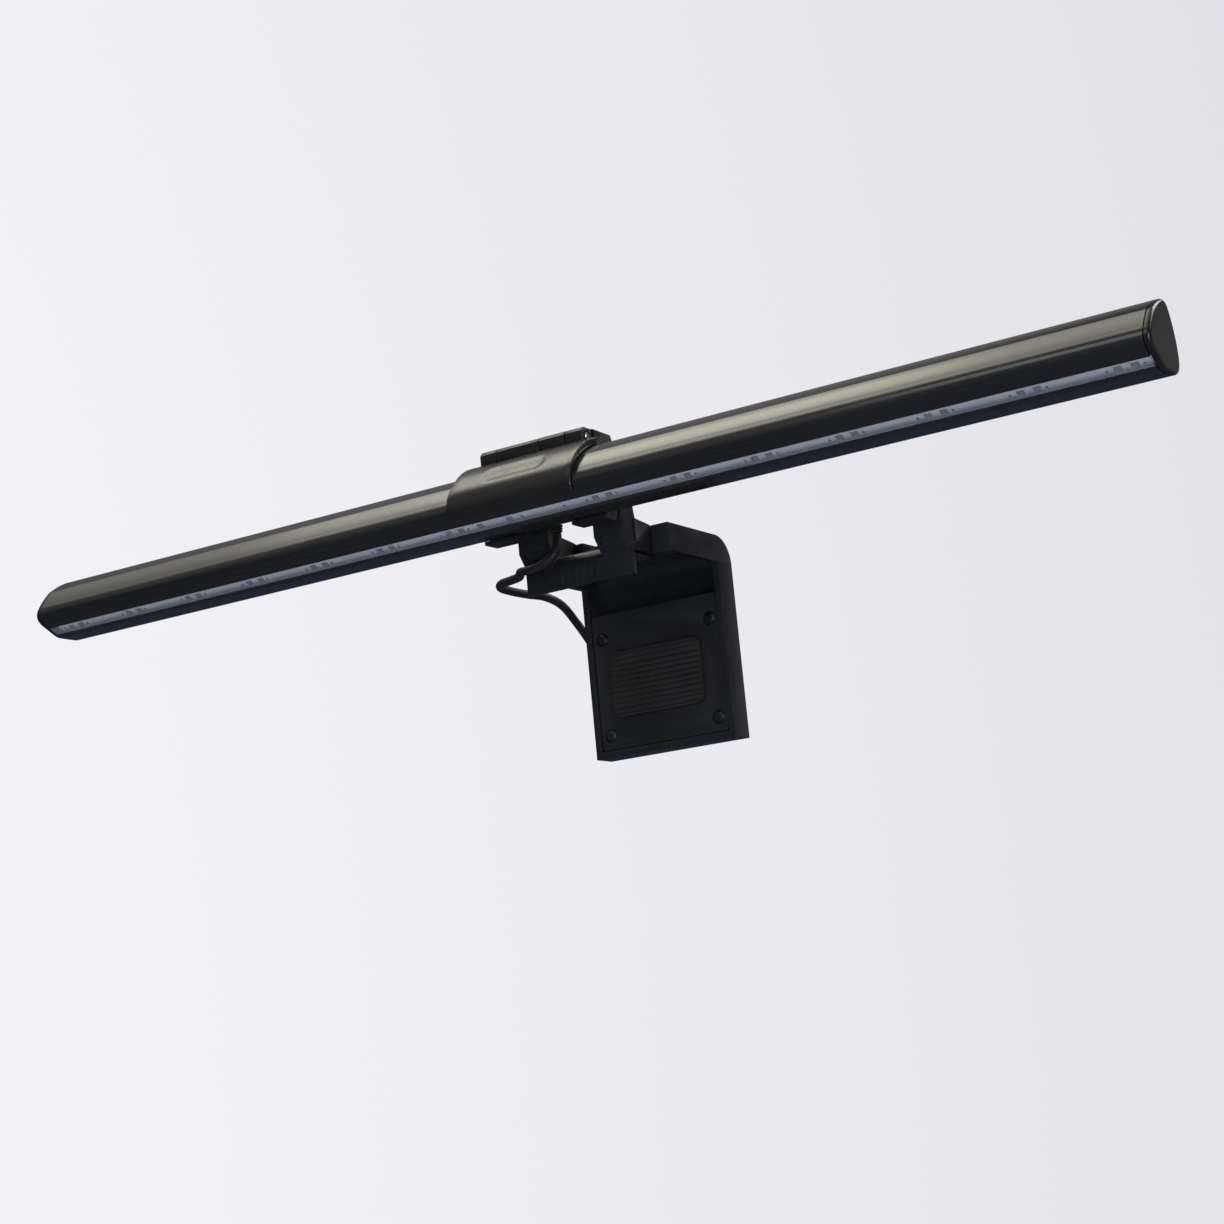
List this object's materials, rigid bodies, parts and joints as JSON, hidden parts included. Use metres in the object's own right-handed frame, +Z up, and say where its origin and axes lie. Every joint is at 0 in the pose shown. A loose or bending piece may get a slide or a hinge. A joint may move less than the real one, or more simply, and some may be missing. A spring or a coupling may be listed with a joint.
{
  "type": "monitor light bar",
  "caption": "Long slim lamp tube on a tilting hook clamp with a counterweighted rear leg that grips a monitor's top edge.",
  "frame": {"origin": "middle of the underside of the saddle pad, which rests on the monitor's top edge", "axes": "+X along the lamp tube, +Y back over the monitor, +Z up"},
  "size_m": [0.45, 0.1234, 0.1032],
  "materials": {
    "anodised": "satin black anodised extrusion",
    "cap_plastic": "fine satin moulded plastic",
    "black_plastic": "fine satin moulded plastic",
    "hook_plastic": "satin moulded plastic",
    "cover_plastic": "satin-gloss moulded plastic",
    "lens": "clear extruded lens, lightly frosted inside",
    "board": "white solder resist",
    "driver": "green solder resist",
    "carrier": "mill finish",
    "steel": "turned and polished",
    "dark_steel": "blackened steel",
    "rubber": "matte black elastomer",
    "cord": "satin black sheath"
  },
  "bodies": {
    "lamp": {"tube_housing": "anodised", "end_cap_left": "cap_plastic", "end_cap_right": "cap_plastic", "lens_strip": "lens", "led_board": "board", "board_carrier": "carrier", "driver_board": "driver", "rear_cradle": "black_plastic", "cradle_plate": "black_plastic", "touch_board": "driver", "cover_hinge_pin": "steel", "cradle_screw_left": "dark_steel", "cradle_screw_right": "dark_steel", "plate_screw_left": "dark_steel", "plate_screw_right": "dark_steel", "strain_relief": "rubber"},
    "cover": {"collar_cover": "cover_plastic"},
    "clamp_base": {"hook_bracket": "hook_plastic", "lip_pad": "rubber", "saddle_pad": "rubber", "tilt_shaft": "steel", "shaft_cap_left": "dark_steel", "shaft_cap_right": "dark_steel", "leg_shaft": "steel", "cord_lead": "cord", "cord_coil": "cord", "cord_tail": "cord", "cord_tie": "rubber", "plug_body": "rubber", "plug_shell": "steel"},
    "rear_leg": {"rear_leg": "hook_plastic", "leg_weight": "steel", "leg_cover": "black_plastic", "rear_pad": "rubber", "leg_screw_1": "dark_steel", "leg_screw_2": "dark_steel", "leg_screw_3": "dark_steel", "leg_screw_4": "dark_steel"}
  },
  "joints": [
    {"name": "bar_tilt", "type": "hinge", "parent": "clamp_base", "child": "lamp", "pos_m": [0, -0.0115, 0.0204], "axis": [1, 0, 0], "range_deg": [-15, 20]},
    {"name": "cover_hinge", "type": "hinge", "parent": "lamp", "child": "cover", "pos_m": [0, -0.0305, 0.038], "axis": [-1, 0, 0], "range_deg": [0, 100]},
    {"name": "rear_leg_swing", "type": "hinge", "parent": "clamp_base", "child": "rear_leg", "pos_m": [0, 0.0085, 0.0066], "axis": [-1, 0, 0], "range_deg": [0, 38]}
  ]
}
